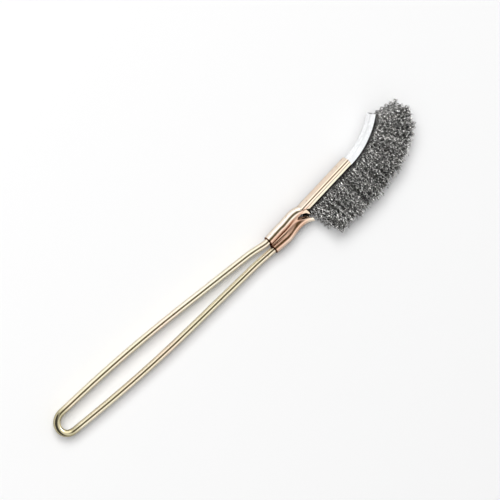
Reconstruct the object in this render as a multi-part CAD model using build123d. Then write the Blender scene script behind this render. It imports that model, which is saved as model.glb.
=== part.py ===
from build123d import *
import math
import os

# Wire brush: a wire loop handle, a crimped sheet ferrule and a bent strip brush.
# It is drawn in the plane of the brush: X runs from the loop's end to the head, +Y is the back of the
# strip, the bristles point to -Y, and Z is square to the plane of the loop. At the end of the script
# the whole brush is set down on its flat side, over the origin.
# All lengths are in millimetres and all angles in degrees.

# ---- handle wire ----
WIRE_DIAMETER = 4.0
LOOP_END_WIDTH = 13.8
LOOP_END_RADIUS = 6.9
LOOP_BELLY_X = 58.0
LOOP_BELLY_WIDTH = 18.1
LOOP_BELLY_RADIUS = 780.0
NECK_X = 147.0
NECK_WIDTH = 7.9
NECK_RADIUS = 60.0
MOUTH_LEAD = 1.8
MOUTH_RADIUS = 12.0

# ---- ferrule: crimped rear half ----
SHEET = 0.8
WIRE_CLEARANCE = 0.05
FERRULE_X = 159.8
FERRULE_Y = -0.8
FERRULE_ANGLE = 3.25
BARREL_GAP = 2.25
BARREL_SPLAY = 4.0
SLEEVE_LENGTH = 10.0
WIRE_GRIP = 9.5
FLANGE_GAP = 0.1
SEAM_GAP = 0.3

# The sheet opens up past the sleeve. At each station: how far the upper and the lower rounding lie
# from the ferrule's axis, their radius, and half the width of the waist between them.
FADE = {"at": 16.0, "upper": 4.22, "lower": 2.76, "radius": 2.85, "waist": 1.4}
SHOULDER = {"at": 21.0, "upper": 4.39, "lower": 2.18, "radius": 2.85, "waist": 2.2}
DIP = {"at": 25.0, "upper": 3.44, "lower": 3.05, "radius": 2.85, "waist": 2.6}
HORN_TIP = {"at": 28.6, "upper": 1.21, "lower": 5.36, "radius": 2.85, "waist": 2.7}
OPENING = [FADE, SHOULDER, DIP, HORN_TIP]

# ---- ferrule: U-shaped front half ----
CLAMP_AT = 26.0
CLAMP_RISE = 0.49
CLAMP_LENGTH = 39.2
HEAD_ANGLE = 6.5
CLAMP_DEPTH = 4.0
CLAMP_CORNER = 1.2
CREASE_HEIGHT = 1.7
CREASE_DRAW = 0.25
CREASE_RADIUS = 0.3

# ---- ferrule: notch, lower opening and the clamp's slanted rear edge ----
SEAM_OPENS = 14.0
MOUTH_OPENING = 4.2
# Corners seen from the side: how far along the ferrule's axis, and how far beside it.
NOTCH_CORNERS = [
    (20.2, 1.1),
    (22.0, 2.3),
    (24.2, 2.4),
    (27.0, 0.9),
    (28.3, -1.3),
    (31.0, -1.3),
    (31.0, -6.1),
    (22.0, 0.2),
]
SLANT_CORNERS = [
    (25.0, 5.3),
    (33.3, -1.0),
    (25.0, -1.0),
]
NOTCH_RADIUS = 0.5

# ---- strip channel ----
CHANNEL_WIDTH = 4.5
CHANNEL_HEIGHT = 3.8
CHANNEL_WALL = 0.6
CHANNEL_CORNER = 1.0
CHANNEL_INSET = 2.6
CHANNEL_STOP_GAP = 0.2
BEND_RADIUS = 45.0
BEND_ANGLE = 40.8

# ---- core wire and fill ----
CORE_DIAMETER = 1.5
FIT_GAP = 0.05

# ---- bristles ----
SECTIONS = 6
COLUMNS = 11
ROWS = 5
ROW_STAGGER = 0.25
SECTION_GAP = 0.1
FILL_INSET = 0.2
STRAND_SIDES = 3
STRAND_RADIUS = 0.3
ROOT_PITCH = 0.6
ROOT_SINK = 0.4
TIP_PITCH = 3.25
TRIM_LENGTH = 26.0
CRIMP_BENDS = 3
CRIMP_HEIGHT = 0.45
REAR_LEAN = 13.0
REAR_LEAN_LENGTH = 22.0
TIP_LEAN = 20.0
TIP_LEAN_LENGTH = 18.0
TIP_TRIM = 8.5
TIP_TRIM_LENGTH = 10.0

os.makedirs("parts", exist_ok=True)

UP = Vector(0, 0, 1)

wire_radius = WIRE_DIAMETER / 2
clamped_length = CLAMP_LENGTH - CHANNEL_INSET
strip_length = clamped_length + BEND_RADIUS * math.radians(BEND_ANGLE)
reach = HORN_TIP["at"]


def heading(angle):
    """Unit vector in the plane of the brush, turned by an angle from +X towards +Y."""
    return Vector(math.cos(math.radians(angle)), math.sin(math.radians(angle)), 0)


def section_plane(point, angle):
    """Plane square to a heading: local x runs along +Z, and local y towards the bristles."""
    return Plane(origin=point, x_dir=UP, z_dir=heading(angle))


# ---- handle ----
ferrule_start = Vector(FERRULE_X, FERRULE_Y, 0)
ferrule_way = heading(FERRULE_ANGLE)
ferrule_side = heading(FERRULE_ANGLE + 90)


def ferrule_point(distance, offset):
    """Point in the plane of the brush, given along and beside the ferrule's axis."""
    return ferrule_start + ferrule_way * distance + ferrule_side * offset


def barrel_offset(distance):
    """How far the middle of each barrel lies beside the ferrule's axis: they spread from the mouth."""
    return (WIRE_DIAMETER + BARREL_GAP) / 2 + distance * math.tan(math.radians(BARREL_SPLAY))


def handle_loop():
    """One bent wire: out of the upper barrel, round the loop's end and back into the lower barrel."""
    route = {}
    for side in (1, -1):
        route[side] = [
            ferrule_point(WIRE_GRIP, side * barrel_offset(WIRE_GRIP)),
            ferrule_point(-MOUTH_LEAD, side * barrel_offset(-MOUTH_LEAD)),
            Vector(NECK_X, side * NECK_WIDTH / 2, 0),
            Vector(LOOP_BELLY_X, side * LOOP_BELLY_WIDTH / 2, 0),
            Vector(0, side * LOOP_END_WIDTH / 2, 0),
        ]
    radii = [MOUTH_RADIUS, NECK_RADIUS, LOOP_BELLY_RADIUS, LOOP_END_RADIUS]
    line = FilletPolyline(*route[1], *reversed(route[-1]), radius=[*radii, *reversed(radii)])
    start = Plane(origin=line @ 0, z_dir=line % 0)
    return sweep(start * Circle(wire_radius), path=line)


# ---- ferrule ----
def arc_about(centre, radius, start, end, side):
    """Arc of a rounding whose centre lies on the middle line, from start to end on one side."""
    first = math.atan2(start[1] - centre, side * start[0])
    last = math.atan2(end[1] - centre, side * end[0])
    middle = (first + last) / 2
    halfway = (side * radius * math.cos(middle), centre + radius * math.sin(middle))
    return ThreePointArc(start, halfway, end)


def barrel_face(station, inset):
    """Section of the crimped sheet: two roundings with a waist between, drawn in by an inset."""
    radius = station["radius"] - inset
    waist = station["waist"] - inset
    half = (station["upper"] + station["lower"]) / 2
    middle = (station["lower"] - station["upper"]) / 2
    hollow = (waist**2 + half**2 - radius**2) / (2 * (radius - waist))
    share = radius / (radius + hollow)
    edges = []
    for side in (1, -1):
        top = (0, middle - half - radius)
        bottom = (0, middle + half + radius)
        upper_touch = (side * (waist + hollow) * share, middle - half * (1 - share))
        lower_touch = (upper_touch[0], middle + half * (1 - share))
        edges.append(arc_about(middle - half, radius, top, upper_touch, side))
        edges.append(ThreePointArc(upper_touch, (side * waist, middle), lower_touch))
        edges.append(arc_about(middle + half, radius, lower_touch, bottom, side))
    plane = section_plane(ferrule_point(station["at"], 0), FERRULE_ANGLE)
    return plane * make_face(edges)


def sleeve_station(distance):
    """Section round both wires: a tight barrel each, with the sheet pressed together between them."""
    return {
        "at": distance,
        "upper": barrel_offset(distance),
        "lower": barrel_offset(distance),
        "radius": wire_radius + WIRE_CLEARANCE + SHEET,
        "waist": FLANGE_GAP / 2 + SHEET,
    }


def crimped_half(inset):
    """Solid inside the sheet's outer skin, or inside its inner skin when inset by its thickness."""
    mouth = barrel_face(sleeve_station(0), inset)
    throat = [barrel_face(station, inset) for station in (sleeve_station(SLEEVE_LENGTH), *OPENING)]
    return loft([mouth, throat[0]]) + loft(throat)


clamp_rear = ferrule_point(CLAMP_AT, CLAMP_RISE)
clamp_front = clamp_rear + heading(HEAD_ANGLE) * CLAMP_LENGTH
clamp_inner_half = CHANNEL_WIDTH / 2 + FIT_GAP
clamp_outer_half = clamp_inner_half + SHEET
clamp_inner_top = CHANNEL_HEIGHT + FIT_GAP
clamp_outer_top = clamp_inner_top + SHEET
clamp_edge = clamp_outer_top - CLAMP_DEPTH


def clamp():
    """Front half: a U over the back of the strip, with a crease near its two lower edges."""
    crease = clamp_edge + CREASE_HEIGHT
    skin = FilletPolyline(
        (clamp_outer_half - CREASE_DRAW, -clamp_edge),
        (clamp_outer_half, -crease),
        (clamp_outer_half, -clamp_outer_top),
        (-clamp_outer_half, -clamp_outer_top),
        (-clamp_outer_half, -crease),
        (CREASE_DRAW - clamp_outer_half, -clamp_edge),
        radius=[CREASE_RADIUS, CLAMP_CORNER, CLAMP_CORNER, CREASE_RADIUS],
        close=False,
    )
    closing = Line(skin @ 1, skin @ 0)
    inside = Pos(0, -clamp_inner_top / 2) * RectangleRounded(
        2 * clamp_inner_half, clamp_inner_top, CLAMP_CORNER - SHEET
    )
    mouth = Pos(0, -clamp_inner_top / 4) * Rectangle(2 * clamp_inner_half, clamp_inner_top / 2)
    profile = make_face([*skin.edges(), closing]) - inside - mouth
    return extrude(section_plane(clamp_rear, HEAD_ANGLE) * profile, amount=CLAMP_LENGTH)


def side_cutter(corners):
    """Cutter straight through both flanges, with rounded corners."""
    points = [ferrule_point(at, offset) for at, offset in corners]
    outline = FilletPolyline(*points, radius=NOTCH_RADIUS, close=True)
    return extrude(make_face(outline), amount=reach, both=True)


def seam():
    """Cutter where the sheet's two lower edges meet: narrow under the sleeve, wide at the horns."""
    plane = Plane(origin=ferrule_point(0, -barrel_offset(0)), x_dir=ferrule_way, z_dir=-ferrule_side)
    outline = Polyline(
        (-reach, -SEAM_GAP / 2),
        (SEAM_OPENS, -SEAM_GAP / 2),
        (HORN_TIP["at"], -MOUTH_OPENING / 2),
        (HORN_TIP["at"] + reach, -MOUTH_OPENING / 2),
        (HORN_TIP["at"] + reach, MOUTH_OPENING / 2),
        (HORN_TIP["at"], MOUTH_OPENING / 2),
        (SEAM_OPENS, SEAM_GAP / 2),
        (-reach, SEAM_GAP / 2),
        close=True,
    )
    return extrude(plane * make_face(outline), amount=reach)


def ferrule():
    """The stamping: crimped sleeve, opened throat with its two horns, notch and clamp."""
    shell = crimped_half(0) - crimped_half(SHEET)
    lap = CHANNEL_INSET - CHANNEL_STOP_GAP
    lap_end = section_plane(clamp_rear + heading(HEAD_ANGLE) * lap, HEAD_ANGLE)
    over_channel = Pos(0, -reach / 2) * Rectangle(reach, reach)
    shell -= extrude(lap_end * over_channel, amount=reach)
    shell -= seam()
    return shell - side_cutter(NOTCH_CORNERS) + (clamp() - side_cutter(SLANT_CORNERS))


# ---- strip ----
inside_width = CHANNEL_WIDTH - 2 * CHANNEL_WALL
strip_start = clamp_rear + heading(HEAD_ANGLE) * CHANNEL_INSET
bend_centre = clamp_front + heading(HEAD_ANGLE + 90) * BEND_RADIUS


def strip_angle(place):
    """Heading of the strip at a distance from its rear end."""
    return HEAD_ANGLE + math.degrees(max(0, place - clamped_length) / BEND_RADIUS)


def strip_point(place):
    """Point of the channel's mouth at a distance from its rear end."""
    if place <= clamped_length:
        return strip_start + heading(HEAD_ANGLE) * place
    return bend_centre + heading(strip_angle(place) - 90) * BEND_RADIUS


def along_strip(profile, first, last):
    """Solid with one section that follows the strip from the first to the last distance."""
    pieces = []
    if first < clamped_length:
        plane = section_plane(strip_point(first), HEAD_ANGLE)
        pieces.append(extrude(plane * profile, amount=min(last, clamped_length) - first))
    if last > clamped_length:
        begin = max(first, clamped_length)
        plane = section_plane(strip_point(begin), strip_angle(begin))
        sweep_angle = strip_angle(last) - strip_angle(begin)
        pieces.append(revolve(plane * profile, Axis(bend_centre, UP), sweep_angle))
    return pieces[0] if len(pieces) == 1 else pieces[0] + pieces[1]


def channel_profile():
    """U of the galvanised channel, open towards the bristles."""
    outer = rounded_back(CHANNEL_WIDTH, CHANNEL_HEIGHT, CHANNEL_CORNER)
    inner = rounded_back(inside_width, CHANNEL_HEIGHT - CHANNEL_WALL, CHANNEL_CORNER - CHANNEL_WALL)
    return outer - inner


def rounded_back(width, height, corner):
    """Filled section from the mouth to a back with two rounded corners."""
    face = Pos(0, -height / 2) * Rectangle(width, height)
    return fillet(face.vertices().sort_by(Axis.Y)[0:2], corner)


# ---- core wire and backing ----
core_depth = (CHANNEL_HEIGHT - CHANNEL_WALL) / 2


def core_profile(clearance):
    """Round section in the middle of the channel."""
    return Pos(0, -core_depth) * Circle(CORE_DIAMETER / 2 + clearance)


def backing_profile():
    """Folded roots of the fill: what is left between the channel and the core wire."""
    height = CHANNEL_HEIGHT - CHANNEL_CORNER - FIT_GAP
    filled = Pos(0, -(height + FIT_GAP) / 2) * Rectangle(inside_width - 2 * FIT_GAP, height)
    return filled - core_profile(FIT_GAP)


# ---- bristles ----
def lean_at(place):
    """Forward lean of the strands from square to the strip: most at both ends."""
    rear = max(0, 1 - (place - FILL_INSET) / REAR_LEAN_LENGTH)
    front = max(0, 1 - (strip_length - place) / TIP_LEAN_LENGTH)
    return REAR_LEAN * rear + TIP_LEAN * front**2


def length_at(place):
    """Trim length of the strands, shorter at the strip's free end."""
    front = max(0, 1 - (strip_length - place) / TIP_TRIM_LENGTH)
    return TRIM_LENGTH - TIP_TRIM * front**2


def strand(place, row):
    """One crimped strand of three sides, from inside the backing to its tip."""
    way = heading(strip_angle(place))
    out = heading(strip_angle(place) - 90 + lean_at(place))
    across = row - (ROWS - 1) / 2
    root = strip_point(place) - out * ROOT_SINK + UP * (across * ROOT_PITCH)
    tip = strip_point(place) + out * length_at(place) + UP * (across * TIP_PITCH)
    centres = [root]
    for bend in range(1, CRIMP_BENDS + 1):
        swing = way * (CRIMP_HEIGHT if bend % 2 else -CRIMP_HEIGHT)
        centres.append(root + (tip - root) * (bend / CRIMP_BENDS) + swing)
    corners = []
    for corner in range(STRAND_SIDES):
        turn = math.tau * corner / STRAND_SIDES
        corners.append((way * math.cos(turn) + UP * math.sin(turn)) * STRAND_RADIUS)
    faces = [Face(Wire.make_polygon([root + corner for corner in corners]))]
    for low, high in zip(centres, centres[1:]):
        for corner, following in zip(corners, corners[1:] + corners[:1]):
            ring = [low + corner, low + following, high + following, high + corner]
            faces.append(Face(Wire.make_polygon(ring)))
    faces.append(Face(Wire.make_polygon([centres[-1] + corner for corner in corners])))
    return Solid(Shell(faces))


def bristles(section):
    """One section of the fill: its slice of the backing with all its strands."""
    slice_length = (strip_length - FILL_INSET) / SECTIONS
    first = FILL_INSET + section * slice_length + SECTION_GAP / 2
    last = first + slice_length - SECTION_GAP
    pitch = (last - first) / COLUMNS
    strands = []
    for column in range(COLUMNS):
        for row in range(ROWS):
            stagger = ROW_STAGGER if row % 2 else -ROW_STAGGER
            strands.append(strand(first + (column + 0.5 + stagger) * pitch, row))
    return along_strip(backing_profile(), first, last).fuse(*strands)


# ---- the assembly ----
parts = {
    "handle_loop": handle_loop(),
    "ferrule": ferrule(),
    "bristle_channel": along_strip(channel_profile(), 0, strip_length),
    "core_wire": along_strip(core_profile(0), 0, strip_length),
}
for number in range(SECTIONS):
    parts[f"bristles_{number + 1}"] = bristles(number)

box = Compound(children=[Part(solid.wrapped) for solid in parts.values()]).bounding_box()
ground = Pos(-box.center().X, -box.center().Y, -box.min.Z)
for name, solid in parts.items():
    piece = ground * solid
    piece.label = name
    export_step(piece, f"parts/{name}.step")
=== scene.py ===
import math
import random

import bpy
from mathutils import Matrix, Vector


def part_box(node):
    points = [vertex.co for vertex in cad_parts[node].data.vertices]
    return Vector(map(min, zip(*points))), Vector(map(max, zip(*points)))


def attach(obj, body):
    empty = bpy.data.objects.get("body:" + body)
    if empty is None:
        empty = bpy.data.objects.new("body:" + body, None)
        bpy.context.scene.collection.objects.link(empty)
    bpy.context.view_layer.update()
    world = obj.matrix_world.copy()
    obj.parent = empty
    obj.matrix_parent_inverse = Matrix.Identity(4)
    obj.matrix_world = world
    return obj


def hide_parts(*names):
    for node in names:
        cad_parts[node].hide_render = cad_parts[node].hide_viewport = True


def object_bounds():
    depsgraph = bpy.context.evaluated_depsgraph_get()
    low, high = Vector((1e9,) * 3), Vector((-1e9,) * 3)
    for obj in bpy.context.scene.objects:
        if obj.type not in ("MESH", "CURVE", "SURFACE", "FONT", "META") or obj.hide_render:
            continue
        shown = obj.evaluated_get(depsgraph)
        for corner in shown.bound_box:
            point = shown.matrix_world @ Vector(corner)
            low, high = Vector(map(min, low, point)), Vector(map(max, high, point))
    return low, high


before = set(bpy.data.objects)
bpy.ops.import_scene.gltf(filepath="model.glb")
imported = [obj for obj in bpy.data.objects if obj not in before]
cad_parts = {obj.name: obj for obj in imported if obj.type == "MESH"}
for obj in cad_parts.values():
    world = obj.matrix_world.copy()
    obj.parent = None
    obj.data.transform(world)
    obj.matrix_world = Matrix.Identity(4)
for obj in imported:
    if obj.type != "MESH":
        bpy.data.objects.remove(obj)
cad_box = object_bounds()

# A wire brush on a pale floor. Metres, in the frame of the CAD model: +X from the handle's loop to the
# head, +Y to the back of the bristle strip, +Z square to the plane of the loop.

MM = 0.001
UP = Vector((0, 0, 1))


def heading(angle):
    """Direction in the plane of the loop, by its angle from +X towards +Y in degrees."""
    return Vector((math.cos(math.radians(angle)), math.sin(math.radians(angle)), 0))


# ---- where the CAD model's drawing has its zero: at the loop's end, on the wire's centre line ----
WIRE_RADIUS = 2.0 * MM
low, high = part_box("handle_loop")
ORIGIN = Vector((low.x + WIRE_RADIUS, (low.y + high.y) / 2, (low.z + high.z) / 2))
LOOP_END_SHADE = 14.0 * MM  # how far the painted shade of the end bend reaches

# ---- the photograph's camera ----
CAMERA_RIGHT = Vector((0.73156, -0.47990, 0.48427))
CAMERA_UP = Vector((0.63958, 0.72909, -0.24366))
CAMERA_BACK = Vector((-0.23615, 0.48798, 0.84030))
AIM = ORIGIN + Vector((148.208, 5.849, 0)) * MM
CAMERA_DISTANCE = 2.5
CAMERA_RANGE = 50.0
PIXEL = 0.56 * MM
IMAGE_PIXELS = 500
SENSOR = 36.0

# ---- the ferrule, as the CAD model has it ----
FERRULE_START = ORIGIN + Vector((159.8, -0.8, 0)) * MM
FERRULE_ANGLE = 3.25
FERRULE_SPAN = 62.0 * MM  # nearly its whole length
BARREL_SPAN = 16.0 * MM  # a little more than the two barrels side by side
CLAMP_AHEAD = 26.0 * MM  # the clamp's rear end, from the ferrule's start, at the level of the strip's lips
CLAMP_RISE = 0.49 * MM
CLAMP_TOP = 4.65 * MM  # the clamp's back, from the strip's lips

# ---- the bristle strip, as the CAD model has it ----
HEAD_ANGLE = 6.5
STRIP_AHEAD = 2.6 * MM  # its cut end, from the clamp's rear end
CLAMPED_LENGTH = 36.6 * MM
BEND_RADIUS = 45.0 * MM
BEND_ANGLE = 40.8
CLAMP_START = FERRULE_START + heading(FERRULE_ANGLE) * CLAMP_AHEAD + heading(FERRULE_ANGLE + 90) * CLAMP_RISE
STRIP_START = CLAMP_START + heading(HEAD_ANGLE) * STRIP_AHEAD
STRIP_LENGTH = CLAMPED_LENGTH + BEND_RADIUS * math.radians(BEND_ANGLE)
BEND_CENTRE = STRIP_START + heading(HEAD_ANGLE) * CLAMPED_LENGTH + heading(HEAD_ANGLE + 90) * BEND_RADIUS

# ---- the fill's form: lengths and leans along the strip ----
FILL_INSET = 0.2 * MM
TIP_INSET = 1.2 * MM
REAR_LEAN, REAR_LEAN_REACH = 20, 22 * MM
TIP_LEAN, TIP_LEAN_REACH = 19, 18 * MM
TRIM_LENGTH = 26.0 * MM
FULLER_TRIM, FULLER_START, FULLER_REACH = 2.0 * MM, 24 * MM, 20 * MM
TIP_TRIM, TIP_TRIM_REACH = 8.0 * MM, 10 * MM
FILL_SPREAD = 6.1 * MM  # from the strip's middle plane to the outermost tips
ROOT_SPREAD = 1.2 * MM
ROOT_DEPTH = 0.6 * MM

# ---- the fill's wires ----
SEED = 3
SECTIONS = 6
LOCKS = (165, 165, 165, 170, 185, 200)  # in each section, closer together towards the tip
WIRES_PER_LOCK = 3
BRISTLE_RADIUS = 0.22 * MM
WIRE_STEPS = 40
WIRE_CORNERS = ((1, 0), (0, 1), (-1, 0), (0, -1))
SIDES = len(WIRE_CORNERS)
CRIMP_HEIGHT = (0.6 * MM, 1.0 * MM)
CRIMP_PITCH = (2.7 * MM, 4.0 * MM)
CRIMP_START = 1 / 6  # the share of a wire over which its crimp sets in
BOW = 0.9 * MM
LOCK_LEAN, LOCK_SCATTER = 4.2, 0.3 * MM
LOCK_TRIM = (0.88, 1.01, 0.97)  # least, most and most likely share of the length
WIRE_LEAN, WIRE_SCATTER, WIRE_TURN = 1.4, 0.28 * MM, 0.7
WIRE_TRIM = (0.88, 1.02, 1.0)
STRAY_SHARE, STRAY_END = 0.08, 0.6  # strays stick out, but not near the tip
STRAY_LEAN, STRAY_LENGTH = 8.0, 1.02
TIP_PAINTED_LIGHT, TIP_PAINTED_LIGHT_START = 0.45, 0.7  # painted light: the locks are brighter towards the tip

# The short wires that splay from the strip's cut end back into the ferrule's hollow; they are near black all
# over, painted shade of the hollow.
SPLAYED_WIRES = 60
SPLAYED_STEPS = 6
SPLAYED_START = (0.3 * MM, 1.6 * MM)
SPLAYED_LENGTH = (3.0 * MM, 4.8 * MM)
SPLAYED_LEAN = (20, 76)
SPLAYED_SPREAD = 1.3 * MM
SPLAYED_RISE = 0.6 * MM
SPLAYED_BOW = 0.4 * MM

# How far the wires' centre lines may go: almost to the floor and the top, and a little past the fill's side.
WIRE_LOW = cad_box[0] + Vector((0, -0.8, 0.25)) * MM
WIRE_HIGH = cad_box[1] - UP * 0.1 * MM


# ---- node helpers ----
def new_material(name):
    material = bpy.data.materials.new(name)
    material.use_nodes = True
    tree = material.node_tree
    tree.nodes.clear()
    shader = tree.nodes.new("ShaderNodeBsdfPrincipled")
    output = tree.nodes.new("ShaderNodeOutputMaterial")
    tree.links.new(shader.outputs["BSDF"], output.inputs["Surface"])
    return material, tree, shader


def object_point(tree, stretch=(1, 1, 1)):
    """The object's own coordinates, stretched along an axis where asked."""
    coordinates = tree.nodes.new("ShaderNodeTexCoord")
    mapping = tree.nodes.new("ShaderNodeMapping")
    mapping.inputs["Scale"].default_value = stretch
    tree.links.new(coordinates.outputs["Object"], mapping.inputs["Vector"])
    return mapping.outputs["Vector"]


def noise(tree, scale, detail, stretch=(1, 1, 1), roughness=0.55):
    texture = tree.nodes.new("ShaderNodeTexNoise")
    texture.inputs["Scale"].default_value = scale
    texture.inputs["Detail"].default_value = detail
    texture.inputs["Roughness"].default_value = roughness
    tree.links.new(object_point(tree, stretch), texture.inputs["Vector"])
    return texture.outputs["Fac"]


def spangle(tree, scale):
    """Random tone of each zinc crystal, from 0 to 1."""
    texture = tree.nodes.new("ShaderNodeTexVoronoi")
    texture.inputs["Scale"].default_value = scale
    tree.links.new(object_point(tree), texture.inputs["Vector"])
    return texture.outputs["Color"]


def ramp(tree, factor, stops):
    """Colour by a factor; a stop is a place from 0 to 1 and its colour."""
    node = tree.nodes.new("ShaderNodeValToRGB")
    elements = node.color_ramp.elements
    elements.remove(elements[-1])
    elements[0].position = stops[0][0]
    elements[0].color = (*stops[0][1], 1)
    for position, colour in stops[1:]:
        elements.new(position).color = (*colour, 1)
    tree.links.new(factor, node.inputs["Fac"])
    return node.outputs["Color"]


def grey(value):
    return (value, value, value)


def level(tree, factor, stops):
    """Number by a factor; a stop is a place from 0 to 1 and its number."""
    return ramp(tree, factor, [(position, grey(value)) for position, value in stops])


def mixed(tree, factor, first, second, blend="MIX"):
    """Mix of two colours; factor, first and second are sockets or plain values."""
    node = tree.nodes.new("ShaderNodeMix")
    node.data_type = "RGBA"
    node.blend_type = blend
    for name, value in (("Factor", factor), ("A", first), ("B", second)):
        sockets = [socket for socket in node.inputs if socket.name == name and socket.enabled]
        if isinstance(value, float):
            sockets[0].default_value = value
        elif isinstance(value, tuple):
            sockets[0].default_value = (*value, 1)
        else:
            tree.links.new(value, sockets[0])
    return [socket for socket in node.outputs if socket.enabled][0]


def bump(tree, height, strength, distance, normal=None):
    node = tree.nodes.new("ShaderNodeBump")
    node.inputs["Strength"].default_value = strength
    node.inputs["Distance"].default_value = distance
    tree.links.new(height, node.inputs["Height"])
    if normal:
        tree.links.new(normal, node.inputs["Normal"])
    return node.outputs["Normal"]


def along_axis(tree, start, direction, length):
    """Distance from a start point along a direction, as a share of a length."""
    dot = tree.nodes.new("ShaderNodeVectorMath")
    dot.operation = "DOT_PRODUCT"
    dot.inputs[1].default_value = direction
    tree.links.new(object_point(tree), dot.inputs[0])
    share = tree.nodes.new("ShaderNodeMapRange")
    share.inputs["From Min"].default_value = start.dot(direction)
    share.inputs["From Max"].default_value = start.dot(direction) + length
    tree.links.new(dot.outputs["Value"], share.inputs["Value"])
    return share.outputs["Result"]


def shelter(tree, reach, least, most):
    """How far a spot lies in a fold or among other pieces: 1 where it is open and 0 deep inside. It masks
    painted shade.
    """
    node = tree.nodes.new("ShaderNodeAmbientOcclusion")
    node.samples = 6
    node.inputs["Distance"].default_value = reach
    return level(tree, node.outputs["AO"], [(least, 0.0), (most, 1.0)])


# ---- materials ----
HANDLE_GRAIN = (0.06, 1, 1)
FERRULE_GRAIN = (0.12, 1, 1)
# The ferrule's painted shade in creases, gaps and along the clamp's fold line, and the dark of its cut rear
# rim.
FERRULE_SHADE_AND_CUT_EDGE = (0.10, 0.04, 0.015)


def patches_of_tone(tree, grain, tones):
    return ramp(tree, noise(tree, 90.0, 3.0, grain), [(0.36, tones[0]), (0.64, tones[1])])


def sheet_metal(name, tones, edge_wear_and_highlight, rough, grain, spots, fold_shade, sheltered, edge, zones=None):
    """Plated metal: soft patches of tone, drawn or rolled streaks, small dull spots, bright edges that are
    both wear and a painted highlight, and painted shade in creases and gaps.

    tones are the dark and light tone, edge_wear_and_highlight the tone of the bare, highlighted edges, rough
    the least and most roughness, grain the stretch of the streaks, spots the tone of the dull spots,
    fold_shade the painted shade in creases and gaps, sheltered how those are found, and edge the tint of the
    metal seen at a low angle. zones lays the tones that only part of a piece has over the rest.
    """
    material, tree, shader = new_material(name)
    shader.inputs["Metallic"].default_value = 1.0
    shader.inputs["Specular Tint"].default_value = (*edge, 1)
    tone = patches_of_tone(tree, grain, tones)
    if zones:
        tone = zones(tree, tone)
    tone = mixed(tree, level(tree, noise(tree, 700.0, 2.0), [(0.64, 0.0), (0.74, 1.0)]), tone, spots)
    pointiness = tree.nodes.new("ShaderNodeNewGeometry").outputs["Pointiness"]
    # Convex edges: bright wear with a painted highlight on it.
    tone = mixed(tree, level(tree, pointiness, [(0.6, 0.0), (0.72, 0.7)]), tone, edge_wear_and_highlight)
    # Painted shade: concave spots and places deep among other pieces are darkened.
    tone = mixed(tree, level(tree, pointiness, [(0.40, 0.7), (0.48, 0.0)]), tone, fold_shade)
    tone = mixed(tree, shelter(tree, *sheltered), fold_shade, tone)
    tree.links.new(tone, shader.inputs["Base Color"])
    streaks = noise(tree, 900.0, 5.0, grain, 0.65)
    tree.links.new(level(tree, streaks, [(0.3, rough[0]), (0.7, rough[1])]), shader.inputs["Roughness"])
    lines = bump(tree, streaks, 0.5, 0.03 * MM)
    waves = bump(tree, noise(tree, 160.0, 2.0), 0.6, 0.12 * MM, lines)
    tree.links.new(waves, shader.inputs["Normal"])
    return material


def handle_zones(tree, tone):
    """Passivation with a faint pink here and there, and painted shade that darkens the loop's end bend to
    olive.
    """
    blush = level(tree, noise(tree, 45.0, 2.0), [(0.45, 0.0), (0.65, 0.45)])
    tone = mixed(tree, blush, tone, (0.93, 0.72, 0.60))
    # Painted shade: the end bend turns a darker olive.
    along = along_axis(tree, ORIGIN - heading(0) * WIRE_RADIUS, heading(0), LOOP_END_SHADE)
    return mixed(tree, level(tree, along, [(0.5, 1.0), (1.0, 0.0)]), tone, (0.50, 0.45, 0.29))


def ferrule_zones(tree, tone):
    """Redder barrels with a painted highlight along their outer sides and a dark rim of cut edge and painted
    shade, and a creamy clamp below its fold line, which carries a painted shade line.
    """
    barrels = patches_of_tone(tree, FERRULE_GRAIN, ((0.62, 0.34, 0.24), (0.88, 0.62, 0.46)))
    side = heading(FERRULE_ANGLE + 90)
    across = along_axis(tree, FERRULE_START - side * BARREL_SPAN / 2, side, BARREL_SPAN)
    # Painted highlight: the barrels' outer sides are lighter.
    outer_highlight = level(tree, across, [(0.21, 0.6), (0.30, 0.0), (0.72, 0.0), (0.80, 0.9)])
    barrels = mixed(tree, outer_highlight, barrels, (0.97, 0.90, 0.78))
    rise = along_axis(tree, CLAMP_START, heading(HEAD_ANGLE + 90), CLAMP_TOP)
    tone = mixed(tree, level(tree, rise, [(0.47, 0.8), (0.53, 0.0)]), tone, (0.95, 0.91, 0.72))
    # Painted shade: a dark line along the clamp's fold line.
    crease_shade = level(tree, rise, [(0.45, 0.0), (0.49, 0.85), (0.53, 0.85), (0.57, 0.0)])
    tone = mixed(tree, crease_shade, tone, FERRULE_SHADE_AND_CUT_EDGE)
    along = along_axis(tree, FERRULE_START, heading(FERRULE_ANGLE), FERRULE_SPAN)
    tone = mixed(tree, level(tree, along, [(0.36, 0.0), (0.56, 1.0)]), barrels, tone)
    # The barrels' rear rim is dark: cut edge and painted shade.
    return mixed(tree, level(tree, along, [(0.006, 0.0), (0.012, 1.0)]), FERRULE_SHADE_AND_CUT_EDGE, tone)


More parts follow.
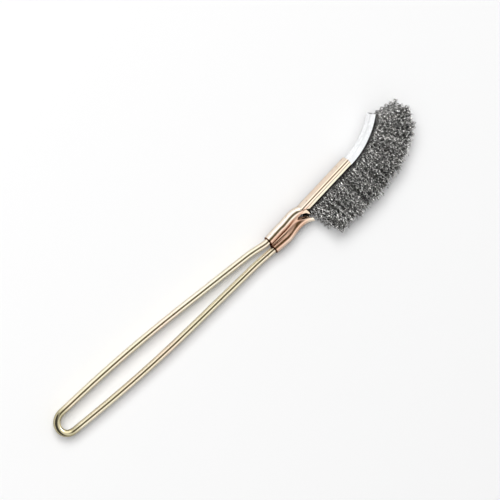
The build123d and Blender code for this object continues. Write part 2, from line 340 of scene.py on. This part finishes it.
def galvanised_metal():
    """Zinc with faint crystals, rolled streaks and a soft gloss. Painted shade darkens it where occlusion is
    high and makes its part inside the clamp near black; that part is dull too.
    """
    material, tree, shader = new_material("channel_galvanised")
    shader.inputs["Metallic"].default_value = 0.35
    crystals = ramp(tree, spangle(tree, 700.0), [(0.2, (0.82, 0.83, 0.84)), (0.8, (0.90, 0.91, 0.92))])
    streaks = noise(tree, 800.0, 5.0, (0.25, 1, 1), 0.65)
    tone = mixed(tree, 1.0, crystals, level(tree, streaks, [(0.35, 0.92), (0.6, 1.0)]), "MULTIPLY")
    # Painted shade: grey where occlusion is high, near black deep in.
    tone = mixed(tree, shelter(tree, 8.0 * MM, 0.55, 0.85), (0.5, 0.51, 0.52), tone)
    tone = mixed(tree, shelter(tree, 6.0 * MM, 0.25, 0.65), (0.06, 0.055, 0.05), tone)
    # Painted shade: the part inside the clamp is near black.
    along = along_axis(tree, STRIP_START, heading(HEAD_ANGLE), CLAMPED_LENGTH)
    tone = mixed(tree, level(tree, along, [(0.985, 0.0), (1.0, 1.0)]), (0.05, 0.045, 0.03), tone)
    tree.links.new(tone, shader.inputs["Base Color"])
    sheen = level(tree, along, [(0.985, 0.0), (1.0, 0.5)])
    tree.links.new(sheen, shader.inputs["Specular IOR Level"])
    tree.links.new(level(tree, streaks, [(0.3, 0.45), (0.7, 0.6)]), shader.inputs["Roughness"])
    tree.links.new(bump(tree, streaks, 0.5, 0.04 * MM), shader.inputs["Normal"])
    return material


def attribute(tree, name):
    node = tree.nodes.new("ShaderNodeAttribute")
    node.attribute_name = name
    return node.outputs["Fac"]


def bristle_steel():
    """Drawn steel wire, fine pitted, with dull patches of scale. Each lock and each wire has its own tone,
    and the locks get a painted light towards the tip.

    Painted shade makes the fill dark deep inside and at its roots.
    """
    material, tree, shader = new_material("bristle_steel")
    shader.inputs["Metallic"].default_value = 1.0
    island = tree.nodes.new("ShaderNodeNewGeometry").outputs["Random Per Island"]
    # The lock's tone, with the painted light towards the tip in it.
    of_lock = attribute(tree, "lock_tone_and_tip_light")
    steel = ramp(tree, of_lock, [(0.0, (0.62, 0.615, 0.60)), (1.0, (1.0, 0.99, 0.97))])
    tone = mixed(tree, 1.0, level(tree, island, [(0.0, 0.6), (1.0, 1.0)]), steel, "MULTIPLY")
    scale = level(tree, noise(tree, 800.0, 2.0), [(0.44, 0.4), (0.56, 1.0)])
    tone = mixed(tree, 1.0, tone, scale, "MULTIPLY")
    # Painted shade deep inside the fill.
    tone = mixed(tree, shelter(tree, 3.0 * MM, 0.12, 0.55), (0.02, 0.02, 0.018), tone)
    # Painted shade at the wires' roots.
    past_root_shade = level(tree, attribute(tree, "from_root"), [(0.06, 0.0), (0.16, 1.0)])
    tone = mixed(tree, past_root_shade, (0.015, 0.014, 0.012), tone)
    tree.links.new(tone, shader.inputs["Base Color"])
    gloss = level(tree, noise(tree, 700.0, 3.0), [(0.35, 0.07), (0.7, 0.2)])
    tree.links.new(gloss, shader.inputs["Roughness"])
    tree.links.new(bump(tree, noise(tree, 2500.0, 2.0), 0.4, 0.02 * MM), shader.inputs["Normal"])
    return material


handle_metal = sheet_metal(
    "handle_zinc",
    tones=((0.78, 0.71, 0.52), (0.90, 0.85, 0.70)),
    edge_wear_and_highlight=(0.94, 0.92, 0.84),
    rough=(0.10, 0.22),
    grain=HANDLE_GRAIN,
    spots=(0.62, 0.55, 0.38),
    fold_shade=(0.16, 0.13, 0.07),
    sheltered=(2.5 * MM, 0.25, 0.7),
    edge=(0.25, 0.2, 0.12),
    zones=handle_zones,
)
ferrule_metal = sheet_metal(
    "ferrule_copper",
    tones=((0.93, 0.74, 0.59), (0.98, 0.88, 0.75)),
    edge_wear_and_highlight=(0.97, 0.88, 0.72),
    rough=(0.10, 0.20),
    grain=FERRULE_GRAIN,
    spots=(0.62, 0.38, 0.26),
    fold_shade=FERRULE_SHADE_AND_CUT_EDGE,
    sheltered=(7.0 * MM, 0.42, 0.9),
    edge=(0.3, 0.2, 0.14),
    zones=ferrule_zones,
)
core_metal = sheet_metal(
    "core_steel",
    tones=((0.48, 0.48, 0.47), (0.58, 0.58, 0.57)),
    edge_wear_and_highlight=(0.65, 0.65, 0.64),
    rough=(0.25, 0.4),
    grain=(0.1, 1, 1),
    spots=(0.35, 0.33, 0.30),
    fold_shade=(0.03, 0.03, 0.03),
    sheltered=(6.0 * MM, 0.3, 0.8),
    edge=(0.8, 0.8, 0.8),
)

for node, material in (
    ("handle_loop", handle_metal),
    ("ferrule", ferrule_metal),
    ("bristle_channel", galvanised_metal()),
    ("core_wire", core_metal),
):
    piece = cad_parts[node]
    piece.data.materials.clear()
    piece.data.materials.append(material)


# ---- bristles ----
def strip_angle(place):
    return HEAD_ANGLE + math.degrees(max(0, place - CLAMPED_LENGTH) / BEND_RADIUS)


def strip_point(place):
    """Point on the strip at a distance from its cut end."""
    if place <= CLAMPED_LENGTH:
        return STRIP_START + heading(HEAD_ANGLE) * place
    return BEND_CENTRE + heading(strip_angle(place) - 90) * BEND_RADIUS


def lean_at(place):
    """Lean of the wires towards the tip, in degrees: most at the strip's two ends."""
    rear = max(0, 1 - (place - FILL_INSET) / REAR_LEAN_REACH)
    front = max(0, 1 - (STRIP_LENGTH - place) / TIP_LEAN_REACH)
    return REAR_LEAN * rear + TIP_LEAN * front**2


def length_at(place):
    """Trim: a little longer past the clamp, and cut back at the tip."""
    front = max(0, 1 - (STRIP_LENGTH - place) / TIP_TRIM_REACH)
    fuller = max(0, min(1, (place - FULLER_START) / FULLER_REACH))
    return TRIM_LENGTH + FULLER_TRIM * fuller - TIP_TRIM * front**2


def new_lock(chance, place):
    """What the wires of one lock share: crimped wires of neighbouring roots nest in one another."""
    spread = chance.uniform(-1, 1)
    stray = chance.random() < STRAY_SHARE and place < STRAY_END * STRIP_LENGTH
    # Painted light: locks near the tip get a brighter tone.
    tipward = max(0, place / STRIP_LENGTH - TIP_PAINTED_LIGHT_START) / (1 - TIP_PAINTED_LIGHT_START)
    return {
        "place": place,
        "spread": spread,
        "across": spread * FILL_SPREAD + chance.gauss(0, LOCK_SCATTER),
        "angle": lean_at(place) + (abs(chance.gauss(0, STRAY_LEAN)) if stray else chance.gauss(0, LOCK_LEAN)),
        "length": length_at(place) * (STRAY_LENGTH if stray else chance.triangular(*LOCK_TRIM)),
        "turn": chance.uniform(0, math.tau),
        "phase": chance.uniform(0, math.tau),
        "height": chance.uniform(*CRIMP_HEIGHT),
        "pitch": chance.uniform(*CRIMP_PITCH),
        "tone": chance.random() + TIP_PAINTED_LIGHT * tipward,
        "bow": (chance.uniform(-1, 1), chance.uniform(-1, 1)),
    }


def wire_line(chance, lock):
    """Centre line of one crimped wire of a lock."""
    place = lock["place"] + chance.gauss(0, WIRE_SCATTER)
    place = max(FILL_INSET, min(STRIP_LENGTH - TIP_INSET, place))
    across = lock["across"] + chance.gauss(0, LOCK_SCATTER)
    out = heading(strip_angle(place) - 90 + lock["angle"] + chance.gauss(0, WIRE_LEAN))
    length = lock["length"] * chance.triangular(*WIRE_TRIM)
    root = strip_point(place) - out * ROOT_DEPTH + UP * (lock["spread"] * ROOT_SPREAD)
    tip = strip_point(place) + out * length + UP * across
    along = (tip - root).normalized()
    side_a = along.cross(UP).normalized()
    side_b = along.cross(side_a)
    turn = lock["turn"] + chance.gauss(0, WIRE_TURN)
    swing = side_a * math.cos(turn) + side_b * math.sin(turn)
    phase = lock["phase"] + chance.gauss(0, WIRE_TURN)
    bow = (side_a * lock["bow"][0] + side_b * lock["bow"][1]) * BOW
    points = []
    for step in range(WIRE_STEPS + 1):
        share = step / WIRE_STEPS
        onset = min(1, share / CRIMP_START)
        wave = math.sin(share * length / lock["pitch"] * math.tau + phase) * lock["height"] * onset
        point = root + (tip - root) * share + swing * wave + bow * math.sin(share * math.pi)
        point.z = max(WIRE_LOW.z, min(WIRE_HIGH.z, point.z))
        point.y = max(WIRE_LOW.y, point.y)
        points.append(point)
    return points


def splayed_line(chance):
    """Centre line of a short wire that the strip's cut end lets splay back into the ferrule's hollow."""
    start = strip_point(chance.uniform(*SPLAYED_START)) + UP * chance.uniform(-SPLAYED_SPREAD, SPLAYED_SPREAD)
    out = heading(HEAD_ANGLE - 90 - chance.uniform(*SPLAYED_LEAN))
    reach = out * chance.uniform(*SPLAYED_LENGTH) + UP * chance.uniform(-SPLAYED_RISE, SPLAYED_RISE)
    swing = out.cross(UP) * chance.uniform(-SPLAYED_BOW, SPLAYED_BOW)
    shares = [step / SPLAYED_STEPS for step in range(SPLAYED_STEPS + 1)]
    return [start + reach * share + swing * math.sin(share * math.pi) for share in shares]


def add_tube(vertices, faces, points):
    """Adds a wire of the fill along the points."""
    first = len(vertices)
    side_a = (points[1] - points[0]).normalized().orthogonal()
    for index, point in enumerate(points):
        before = points[max(index - 1, 0)]
        after = points[min(index + 1, len(points) - 1)]
        along = (after - before).normalized()
        side_a = (side_a - along * side_a.dot(along)).normalized()
        side_b = along.cross(side_a)
        for a, b in WIRE_CORNERS:
            vertices.append(point + (side_a * a + side_b * b) * BRISTLE_RADIUS)
    for ring in range(first, first + (len(points) - 1) * SIDES, SIDES):
        for corner in range(SIDES):
            following = (corner + 1) % SIDES
            faces.append((ring + corner, ring + following, ring + SIDES + following, ring + SIDES + corner))
    last = first + (len(points) - 1) * SIDES
    faces.append(tuple(range(first + SIDES - 1, first - 1, -1)))
    faces.append(tuple(range(last, last + SIDES)))


def add_piece(name, vertices, faces, material):
    mesh = bpy.data.meshes.new(name)
    mesh.from_pydata([tuple(v) for v in vertices], [], faces)
    mesh.polygons.foreach_set("use_smooth", [True] * len(mesh.polygons))
    mesh.materials.append(material)
    mesh.update()
    piece = bpy.data.objects.new(name, mesh)
    bpy.context.scene.collection.objects.link(piece)
    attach(piece, "root")
    return piece


def add_values(piece, name, values):
    """A number for each vertex, which the material reads by its name."""
    piece.data.attributes.new(name, "FLOAT", "POINT").data.foreach_set("value", values)


def crimped_wires(chance, section, vertices, faces):
    """Adds a section's locks, and gives each vertex's share of its wire's length and its lock's tone, which
    holds the painted tip light.
    """
    shares, tones = [], []
    along = [step / WIRE_STEPS for step in range(WIRE_STEPS + 1) for _ in range(SIDES)]
    for index in range(LOCKS[section]):
        share = (section + (index + chance.random()) / LOCKS[section]) / SECTIONS
        lock = new_lock(chance, FILL_INSET + (STRIP_LENGTH - FILL_INSET) * share)
        for _ in range(WIRES_PER_LOCK):
            add_tube(vertices, faces, wire_line(chance, lock))
            shares += along
            tones += [lock["tone"]] * len(along)
    return shares, tones


def splayed_wires(vertices, faces):
    """Adds the short wires in the ferrule's hollow, and gives them the painted root shade, so that they are
    near black all over.
    """
    chance = random.Random(SEED)
    for _ in range(SPLAYED_WIRES):
        add_tube(vertices, faces, splayed_line(chance))
    return [0.0] * (SPLAYED_WIRES * (SPLAYED_STEPS + 1) * SIDES)


wire_metal = bristle_steel()
chance = random.Random(SEED)
for section in range(SECTIONS):
    vertices, faces = [], []
    shares, tones = crimped_wires(chance, section, vertices, faces)
    if section == 0:
        unlit = splayed_wires(vertices, faces)
        shares += unlit
        tones += unlit
    tuft = add_piece(f"wires_{section + 1}", vertices, faces, wire_metal)
    add_values(tuft, "from_root", shares)
    add_values(tuft, "lock_tone_and_tip_light", tones)
    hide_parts(f"bristles_{section + 1}")


# ---- floor ----
FLOOR_REACH = 6.0
FLOOR_DROP = 0.3 * MM  # keeps the floor clear of the brush's lowest faces
FLOOR_TONE = 0.94


def floor():
    mesh = bpy.data.meshes.new("floor")
    corners = [(x * FLOOR_REACH, y * FLOOR_REACH, 0) for x, y in ((-1, -1), (1, -1), (1, 1), (-1, 1))]
    mesh.from_pydata(corners, [], [(0, 1, 2, 3)])
    material, tree, shader = new_material("floor_white")
    shader.inputs["Base Color"].default_value = (*grey(FLOOR_TONE), 1)
    shader.inputs["Roughness"].default_value = 0.9
    shader.inputs["Specular IOR Level"].default_value = 0.0
    mesh.materials.append(material)
    piece = bpy.data.objects.new("floor", mesh)
    piece.location.z = -FLOOR_DROP
    bpy.context.scene.collection.objects.link(piece)


floor()


# ---- light ----
def soft_light(name, direction, distance, size, power, glossy):
    """A lamp that only mirrors show, or one that only lights matt surfaces."""
    light = bpy.data.lights.new(name, "AREA")
    light.shape = "RECTANGLE"
    light.size, light.size_y = size
    light.energy = power
    lamp = bpy.data.objects.new(name, light)
    way = Vector(direction).normalized()
    lamp.location = AIM + way * distance
    lamp.rotation_euler = way.to_track_quat("Z", "Y").to_euler()
    lamp.visible_glossy = glossy
    lamp.visible_diffuse = not glossy
    bpy.context.scene.collection.objects.link(lamp)


soft_light("key", direction=(-0.1, 0.8, 0.82), distance=6.0, size=(3.8, 2.6), power=378, glossy=False)
soft_light("glint", direction=(0.72, -0.45, 0.53), distance=1.4, size=(0.5, 0.34), power=6.6, glossy=True)

# What the metal mirrors, by the angle from overhead towards +Y, in degrees: a dark gap round the camera,
# a bright wall behind the brush, and a pale room in front of it. It lights no matt surface.
DARK_GAP = (0.12, 0.1, 0.05)
ROOM = [
    (-180, grey(0.9)),
    (-95, grey(0.72)),
    (-72, grey(0.7)),
    (-54, grey(0.8)),
    (-42, grey(1.3)),
    (-18, grey(1.3)),
    (-8, grey(0.5)),
    (4, DARK_GAP),
    (36, DARK_GAP),
    (52, grey(0.9)),
    (76, grey(1.6)),
    (95, grey(1.6)),
    (180, grey(0.9)),
]
END_WALLS = (0.1, 2.1)  # past the handle's loop and past the head
FILL_LIGHT = 0.34


def mirrored_room(tree):
    """The room's colours by direction, as shares of the brightest, which is given too."""
    direction = tree.nodes.new("ShaderNodeTexCoord")
    axes = tree.nodes.new("ShaderNodeSeparateXYZ")
    tree.links.new(direction.outputs["Generated"], axes.inputs["Vector"])
    angle = tree.nodes.new("ShaderNodeMath")
    angle.operation = "ARCTAN2"
    tree.links.new(axes.outputs["Y"], angle.inputs[0])
    tree.links.new(axes.outputs["Z"], angle.inputs[1])
    turn = tree.nodes.new("ShaderNodeMapRange")
    turn.inputs["From Min"].default_value = -math.pi
    turn.inputs["From Max"].default_value = math.pi
    tree.links.new(angle.outputs["Value"], turn.inputs["Value"])
    brightest = max(max(colour) for _, colour in ROOM)
    stops = [
        ((degrees + 180) / 360, tuple(part / brightest for part in colour))
        for degrees, colour in ROOM
    ]
    walls = ramp(tree, turn.outputs["Result"], stops)
    side = tree.nodes.new("ShaderNodeMapRange")
    side.inputs["From Min"].default_value = -1.0
    tree.links.new(axes.outputs["X"], side.inputs["Value"])
    inside = level(tree, side.outputs["Result"], [(0.40, 0.0), (0.5, 1.0), (0.74, 1.0), (0.84, 0.0)])
    near, far = (wall / brightest for wall in END_WALLS)
    ends = level(tree, side.outputs["Result"], [(0.3, near), (0.7, far)])
    return mixed(tree, inside, ends, walls), brightest


def background(tree, name, colour, strength):
    node = tree.nodes.new("ShaderNodeBackground")
    node.name = name
    node.inputs["Strength"].default_value = strength
    if isinstance(colour, tuple):
        node.inputs["Color"].default_value = (*colour, 1)
    else:
        tree.links.new(colour, node.inputs["Color"])
    return node.outputs["Background"]


def studio_world():
    """White to the camera, the room above to glossy rays, and an even soft light to the rest."""
    world = bpy.data.worlds.new("studio")
    bpy.context.scene.world = world
    world.use_nodes = True
    tree = world.node_tree
    tree.nodes.clear()
    walls, brightest = mirrored_room(tree)
    rays = tree.nodes.new("ShaderNodeLightPath")
    shader = background(tree, "even", grey(1.0), FILL_LIGHT)
    for name, colour, strength, ray in (
        ("room", walls, brightest, "Is Glossy Ray"),
        ("paper", grey(1.0), 1.0, "Is Camera Ray"),
    ):
        chosen = tree.nodes.new("ShaderNodeMixShader")
        tree.links.new(rays.outputs[ray], chosen.inputs["Fac"])
        tree.links.new(shader, chosen.inputs[1])
        tree.links.new(background(tree, name, colour, strength), chosen.inputs[2])
        shader = chosen.outputs["Shader"]
    output = tree.nodes.new("ShaderNodeOutputWorld")
    tree.links.new(shader, output.inputs["Surface"])


studio_world()


# ---- camera ----
lens = bpy.data.cameras.new("camera")
lens.sensor_width = SENSOR
lens.lens = SENSOR * CAMERA_DISTANCE / (PIXEL * IMAGE_PIXELS)
lens.clip_end = CAMERA_RANGE
camera = bpy.data.objects.new("camera", lens)
eye = AIM + CAMERA_BACK * CAMERA_DISTANCE
axes = Matrix((CAMERA_RIGHT, CAMERA_UP, CAMERA_BACK)).transposed().to_4x4()
camera.matrix_world = Matrix.Translation(eye) @ axes
bpy.context.scene.collection.objects.link(camera)
bpy.context.scene.camera = camera
bpy.context.scene.view_settings.view_transform = "Standard"
